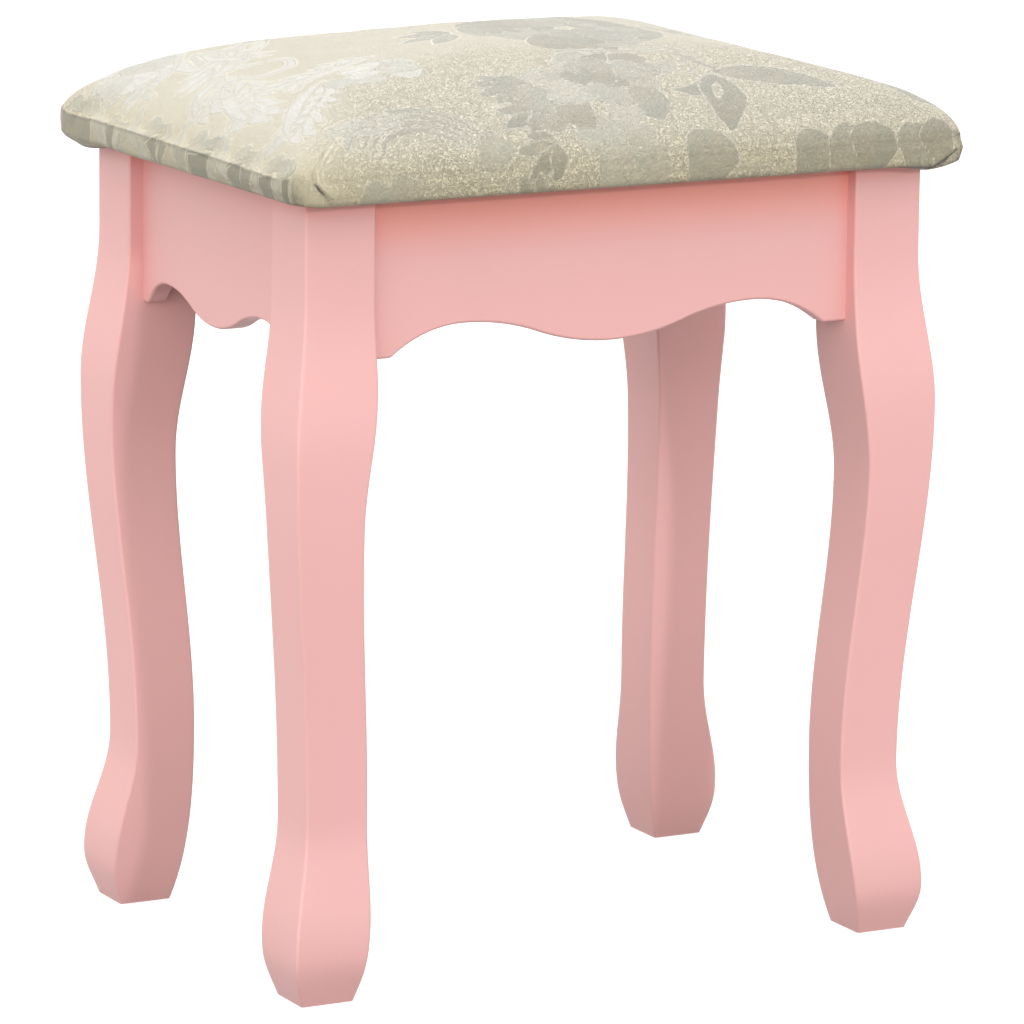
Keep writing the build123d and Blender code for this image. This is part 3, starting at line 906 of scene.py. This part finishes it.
class Relief:
    """What is laid over the settled cloth, in millimetres: its height, and marks where it is tucked
    or folded. side and end are how far a place of the cut cloth lies past the crown at the left or
    right and at the front or back."""

    DROP, TURNED = band_drop / MM, band_end / MM  # ends of the band and of its rounding

    # the crown: lumps of the wadding, and swells: height, middle and reach both ways
    LUMP = 0.22
    SWELLS = (
        (0.7, (25, 80), (0, 60)),
        (1.8, (185, 26), (-114, 30)),
        (0.9, (100, 28), (71, 34)),
        (-1.0, (-66, 34), (64, 30)),
    )
    # left and right: the band stands out, the crown leans in, and pulls run to the band
    BAND_OUT = 0.3
    LEAN_IN = 2.9
    # painted shade in a thin line along the band's upper edge
    BAND_EDGE_SHADE = 0.35
    PULL = 0.6
    PULLS = np.arange(-118, 130, 23.5)
    PULL_WIDTH = 1.9
    # front and back
    EDGE_IN = 0.4
    CORNER_IN, CORNER_OUT = 0.9, 0.8  # the round front right corner, above and below its edge
    GATHER = 0.45
    # the folds at the front corners, as places past the side and the end
    LEFT_FOLD = ((-30, -45), (-20, -34), (-10, -22.5), (-3, -16), (1, -17), (5, -22.5), (14, -31))
    RIGHT_FOLD = ((-50, 13), (-32, 12.5), (-23, 10), (-13, 5.5))
    LEFT_LAYER, LEFT_ROLL = 0.6, 2.2  # the cloth on top, and its rolled edge
    RIGHT_LAYER = 0.8
    NO_FOLD = 20.0
    # under the board's edge
    FLAP = 4.6
    # painted shade in the strip under the slack flap
    FLAP_SHADE = 0.22

    def __init__(self, cut):
        self.u, self.v = cut[:, 0] / MM, cut[:, 1] / MM
        self.side, self.end = np.abs(self.u) - CUT_X / MM, np.abs(self.v) - CUT_Y / MM
        self.past = np.maximum(self.side, self.end)
        self.front_left = (self.u < 0) & (self.v < 0)
        self.front_right = (self.u > 0) & (self.v < 0)
        off_right, off_others = fall(self.end, -62, -42), fall(self.end, -34, -12)
        self.off_corner = np.where(self.front_right, off_right, off_others)
        # marks of painted shade in tucks and folds, and of painted highlight on the ridges beside a
        # fold
        self.height, self.tuck, self.open, self.ridge_highlight = np.zeros((4, len(cut)))
        self.fold = np.full_like(self.u, self.NO_FOLD)
        folds = (self.gathers, self.left_fold, self.right_fold)
        rolled = (self.left_and_right, self.front_and_back)
        for part in (self.crown, *rolled, *folds, self.under_the_edge):
            part()

    def crown(self):
        u, v = self.u, self.v
        lumps = np.sin(u / 9.5 + 1.3 * np.sin(v / 14)) * np.sin(v / 8.3 + 1.7 * np.sin(u / 17))
        self.height += self.LUMP * lumps * hump(np.maximum(self.past, 0), 0, 6)
        for height, right, back in self.SWELLS:
            self.height += height * hump(u, *right) * hump(v, *back)

    def left_and_right(self):
        """The crown leans in over the band, which stays flat and crisp."""
        side = self.side
        inward = np.maximum(-side, 0)
        leaning = (1 - np.exp(-inward / 3)) * np.exp(-inward / 16)
        band = fall(-side, 0.0, 0.6) * fall(side, self.DROP + 1, self.DROP + 4)
        self.height += self.off_corner * (self.BAND_OUT * band - self.LEAN_IN * leaning)
        # painted shade along the band's upper edge
        self.tuck += self.BAND_EDGE_SHADE * self.off_corner * hump(side, 0.5, 0.8)
        pulls = np.zeros_like(side)
        for number, start in enumerate(self.PULLS):
            middle = start + 7 * np.sin(5 * number) + 0.12 * side
            pulls += hump(self.v, middle, self.PULL_WIDTH) * (0.7 + 0.3 * np.sin(2.7 * number))
        self.height -= self.off_corner * self.PULL * pulls * hump(side, -3, 11)

    def front_and_back(self):
        """The cloth rolls over without an edge, and is rounder at the front right corner."""
        rolled = (1 - self.off_corner) * hump(self.end, 0, 3) * fall(self.side, -30, -10)
        self.height -= self.EDGE_IN * rolled
        rounded = self.front_right * fall(-self.side, 10, 26) * fall(-self.end, 10, 30)
        inward, outward = hump(self.past, 0, 2.5), hump(self.past, 7, 3)
        self.height -= rounded * (self.CORNER_IN * inward - self.CORNER_OUT * outward)

    def gathers(self):
        """Small folds that fan out from each corner."""
        corner_u, corner_v = self.side + 10, self.end + 10
        angle = np.degrees(np.arctan2(corner_v, corner_u))
        start = np.where(self.u < 0, 1.0, 2.3) + np.where(self.v < 0, 0.0, 1.9)
        folds = np.sin(angle / 4.6 + start) + 0.5 * np.sin(angle / 2.3 + 2 * start)
        fan = hump(np.hypot(corner_u, corner_v), 15, 12) * fall(np.abs(angle - 45), 40, 62)
        self.height += self.GATHER * fan * (folds + 0.8)

    def mark_fold(self, corner, across):
        near = np.clip(across, -self.NO_FOLD, self.NO_FOLD)
        self.fold = np.where(corner, near, self.fold)

    def left_fold(self):
        """The front lies folded over the side, with a short opening."""
        end = self.end
        across = 0.75 * (self.side - np.interp(end, *zip(*self.LEFT_FOLD)))
        strength = self.front_left * fall(-end, 12, 32) * fall(end, 12.5, 15)
        upper = fall(across, -1.1, 0.4)
        roll = self.LEFT_LAYER + self.LEFT_ROLL * np.exp(np.minimum(across, 0) / 2.6)
        self.height += strength * upper * roll * fall(-across, 14, 34) * fall(end, 8, 13)
        sunk = (1 - upper) * np.exp(-np.maximum(across, 0) / 4) * fall(end, -1, 3)
        self.height -= strength * sunk
        self.mark_fold(self.front_left, across)
        # painted shade in the fold's opening, and a painted highlight on its ridges
        self.open += strength * (0.15 + 0.85 * fall(np.abs(end - 4), 1, 4))
        self.ridge_highlight += strength * fall(end, -2, 9)

    def right_fold(self):
        """The hem of the front lies folded over the side."""
        side = self.side
        across = self.end - np.interp(side, *zip(*self.RIGHT_FOLD))
        strength = self.front_right * fall(-side, 44, 56) * fall(side, -13, -9)
        layer = fall(across, -0.6, 0.4) * np.exp(np.minimum(across, 0) / 5)
        self.height += strength * self.RIGHT_LAYER * layer
        self.mark_fold(self.front_right, across)
        # painted shade along the folded hem
        self.open += strength

    def under_the_edge(self):
        """Below the board's edge the cloth hangs a little round where along is above 0, and is
        drawn in where it is below 0, with a slack flap at the back left. The rest lies flat."""
        v, side, past, turned = self.v, self.side, self.past, self.TURNED
        left = 0.8 * hump(v, 44, 18) - 1.2 * fall(v, -115, 10)
        right = fall(-v, 60, 110) - 1
        front = 1 - 1.4 * self.front_left * fall(-side, 8, 24)
        front += self.front_right * (2.3 * hump(side, -31, 13) - 1.2 * hump(side, -1, 8))
        at_side, at_end = np.where(self.u < 0, left, right), np.where(v < 0, front, 0.9)
        along = np.where(side > self.end, at_side, at_end)
        flap = (self.u < 0) * self.FLAP * hump(v, 114, 25)
        under = hump(past, turned + 2, 6) * np.maximum(along, 0)
        under += hump(past, turned + 3, 5) * flap
        under += hump(past, self.DROP + 1.5, 3.5) * np.minimum(along, 0)
        self.height = self.height * fall(past, turned - 2, turned + 2) + under
        below = fall(-past, -turned - 2, -turned) * fall(past, turned + 8, turned + 12)
        # painted shade below the slack flap
        self.tuck += self.FLAP_SHADE * flap * below


def shape_relief(piece):
    mesh = piece.data
    relief = Relief(read(mesh.attributes["cut"].data, "vector", 3))
    for name in ("tuck", "fold", "open", "ridge_highlight"):
        keep_value(mesh, name, getattr(relief, name))
    outward = read(mesh.vertices, "normal", 3)
    move_points(mesh, read(mesh.vertices, "co", 3) + relief.height[:, None] * MM * outward)


def mark_figures(piece):
    """Give the cloth its flat map, in metres, and where the damask's figures lie."""
    mesh = piece.data
    cut = read(mesh.attributes["cut"].data, "vector", 3)
    edge, grey = damask_figures(cut[:, 0] / MM, cut[:, 1] / MM)
    keep_value(mesh, "figure", edge)
    keep_value(mesh, "grey", grey)
    corners = np.empty(len(mesh.loops), dtype=np.int32)
    mesh.loops.foreach_get("vertex_index", corners)
    flat_map = mesh.uv_layers.new(name="cloth")
    flat_map.data.foreach_set("uv", cut[corners, :2].astype(np.float32).ravel())


def walled(piece, thickness):
    wall = piece.modifiers.new("thickness", "SOLIDIFY")
    wall.thickness, wall.offset = thickness, -1.0
    wall.use_even_offset = False


def damask_cover(material):
    """The cover: cut square, drawn over the wadding and turned in under the board."""
    rows = [*BAND_ROWS, band_drop, (band_drop + band_end) / 2, band_end]
    rows += [band_end + row for row in HEM_ROWS]
    borders = [EDGE_ROW + row for row in rows]
    cloth = laid(cut_cloth(CUT_X - EDGE_ROW, CUT_Y - EDGE_ROW, CLOTH_GRID, borders), over_the_seat)
    piece = new_piece("damask_cover", cloth, material)
    settle(piece)
    refine(piece, CLOTH_LEVELS)
    shape_relief(piece)
    mark_figures(piece)
    walled(piece, FABRIC)
    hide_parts("seat_cover")


def under_the_cover(inset):
    """The form of a layer that lies inset inside the cover."""

    def form(u, v):
        x, y = in_plan(u, v)
        x, y = x * (1 - inset / seat_x), y * (1 - inset / seat_y)
        z = np.maximum(crown_height(x, y, inset), board_top + LAYER_LIFT)
        return np.stack([x, y, z], axis=1)

    return form


def as_filling(piece, node):
    smooth = piece.modifiers.new("smooth", "SUBSURF")
    smooth.levels = smooth.render_levels = 1
    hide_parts(node)


def wadding_layer(material):
    """A blanket of wadding over the foam, down to the board."""
    blanket = laid(cut_cloth(CUT_X, CUT_Y, LAYER_GRID), under_the_cover(WADDING_INSET))
    piece = new_piece("wadding_layer", blanket, material)
    walled(piece, WADDING)
    as_filling(piece, "wadding")


def foam_layer(material):
    """The foam pad: domed on top and flat on the board."""
    pad = laid(cut_cloth(CUT_X, CUT_Y, LAYER_GRID), under_the_cover(FOAM_INSET))
    base = bmesh.ops.extrude_face_region(pad, geom=pad.faces[:])["geom"]
    for corner in base:
        if isinstance(corner, bmesh.types.BMVert):
            corner.co.z = board_top + LAYER_LIFT / 2
    piece = new_piece("foam_layer", pad, material)
    as_filling(piece, "foam_pad")


def dust_cloth(material):
    """A flat piece of thin cloth, tacked under the board."""
    low, high = (Vector(corner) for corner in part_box("dust_cloth"))
    half, middle = (high - low) / 2, (high + low) / 2
    across, down = DUST_CLOTH_CELLS
    height = high.z - DUST_CLOTH_DROP
    cloth = bmesh.new()
    bmesh.ops.create_grid(cloth, x_segments=across, y_segments=down, size=1.0)
    bmesh.ops.scale(cloth, vec=(half.x, half.y, 1), verts=cloth.verts)
    bmesh.ops.translate(cloth, vec=(middle.x, middle.y, height), verts=cloth.verts)
    piece = new_piece("under_cloth", cloth, material)
    if piece.data.polygons[0].normal.z < 0:
        piece.data.flip_normals()
    walled(piece, DUST_CLOTH_THICKNESS)
    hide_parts("dust_cloth")


# ---- light and stage

WHITE = (1, 1, 1, 1)
SKY_COLOUR = (1.0, 0.99, 0.97, 1)
SKY_STRENGTH = 1.21
FLOOR_HALF = 20.0
FLOOR_GLOW = 0.86
FLOOR_SHADE = 0.3  # how much of a shadow shows on the floor
FLOOR_BOUNCE = 0.07  # how much light the floor throws back at the stool

# Broad far lamps: azimuth, elevation, level and spread
LAMPS = {
    "key": (222, 12, 0.2, 40),
    "front edge": (268, 14.5, 0.17, 3),
    "left": (182, 4, 0.06, 30),
    "right": (30, 42, 0.18, 40),
    "back": (88, 32, 0.15, 40),
    "over the seat": (178, 78, 0.2, 36),
}


def white_to_the_eye(made):
    """1 for the rays that show the background: straight, off a gloss or through a clear piece."""
    names = ("Is Camera Ray", "Is Glossy Ray", "Is Transmission Ray")
    camera, gloss, clear = (made.node("ShaderNodeLightPath", output=name) for name in names)
    return camera.math("MAXIMUM", camera, gloss.math("MAXIMUM", gloss, clear))


def world():
    made = Finish(bpy.data.worlds.new("studio"))
    white = made.node("ShaderNodeBackground", None, {"Color": WHITE, "Strength": 1.0})
    sky = made.node("ShaderNodeBackground", None, {"Color": SKY_COLOUR, "Strength": SKY_STRENGTH})
    both = made.node("ShaderNodeMixShader", None, {0: white_to_the_eye(made), 1: sky, 2: white})
    made.node("ShaderNodeOutputWorld", None, {"Surface": both})
    bpy.context.scene.world = made.holder


def floor():
    """A white sweep that keeps a faint shadow."""
    sheet = bmesh.new()
    bmesh.ops.create_grid(sheet, x_segments=1, y_segments=1, size=FLOOR_HALF)
    mesh = bpy.data.meshes.new("floor")
    sheet.to_mesh(mesh)
    sheet.free()
    made = finish("floor")
    greys = ((grey, grey, grey, 1) for grey in (FLOOR_SHADE, FLOOR_BOUNCE))
    shade, plain = (made.node("ShaderNodeBsdfDiffuse", None, {"Color": grey}) for grey in greys)
    glow = made.node("ShaderNodeEmission", None, {"Color": WHITE, "Strength": FLOOR_GLOW})
    seen = made.node("ShaderNodeAddShader", None, {0: glow, 1: shade})
    both = made.node("ShaderNodeMixShader", None, {0: white_to_the_eye(made), 1: plain, 2: seen})
    made.node("ShaderNodeOutputMaterial", None, {"Surface": both})
    mesh.materials.append(made.holder)
    on_scene("floor", mesh)


def lamp(name, azimuth, elevation, level, spread):
    """azimuth is where the lamp stands, in degrees from +X towards +Y; level 1 lights a white
    face square to it to 1."""
    light = bpy.data.lights.new(name, "SUN")
    light.energy = level * pi
    light.angle = radians(spread)
    a, e = radians(azimuth), radians(elevation)
    towards = Vector((cos(a) * cos(e), sin(a) * cos(e), sin(e)))
    on_scene(name, light).rotation_euler = towards.to_track_quat("Z", "Y").to_euler()


def camera():
    data = bpy.data.cameras.new("camera")
    data.lens, data.sensor_width, data.clip_end = CAMERA_LENS, CAMERA_SENSOR, CAMERA_REACH
    matrix = Matrix.Translation(CAMERA_PLACE)
    for angle, axis in ((-CAMERA_YAW, "Z"), (pi / 2 - CAMERA_PITCH, "X"), (CAMERA_ROLL, "Z")):
        matrix @= Matrix.Rotation(angle, 4, axis)
    placed = on_scene("camera", data)
    placed.matrix_world = matrix
    bpy.context.scene.camera = placed


# ---- put together

CORNERS = [f"{end}_{side}" for end in ("front", "back") for side in ("left", "right")]
LEGS = [f"leg_{corner}" for corner in CORNERS]
BLOCKS = [f"corner_block_{corner}" for corner in CORNERS]

# The pieces of each finish. Paint: from what height it is painted deeper as shade, and how much.
# Wood: pale and dark. Steel: its colour.
PAINT = {
    "pink paint on the legs": (LEGS, 386 * MM, 0.6),
    "pink paint on the long aprons": (["apron_front", "apron_back"], 362 * MM, 1.0),
    "pink paint on the short aprons": (["apron_left", "apron_right"], 376 * MM, 0.4),
}
WOOD = {
    "bare wood": (BLOCKS, (0.66, 0.48, 0.29), (0.5, 0.33, 0.18)),
    "dowel wood": (["dowels"], (0.7, 0.53, 0.35), (0.58, 0.41, 0.25)),
    "plywood": (["seat_board"], (0.64, 0.49, 0.32), (0.52, 0.38, 0.23)),
}
STEEL = {
    "screw steel": (["corner_block_screws", "seat_screws"], (0.66, 0.64, 0.58)),
    "staple steel": (["staples"], (0.68, 0.68, 0.68)),
}


def give(names, material):
    for name in names:
        slots = frame["nodes"][name].data.materials
        if not len(slots):
            slots.append(material)
        for number in range(len(slots)):
            slots[number] = material


camera()
world()
floor()
for name, values in LAMPS.items():
    lamp(name, *values)

for look, finishes in ((pink_paint, PAINT), (bare_wood, WOOD), (bright_steel, STEEL)):
    for name, (pieces, *values) in finishes.items():
        give(pieces, look(name, *values))

damask_cover(damask())
wadding_layer(wadding_fibre())
foam_layer(foam())
dust_cloth(non_woven())

bpy.context.scene.view_settings.view_transform = "Standard"
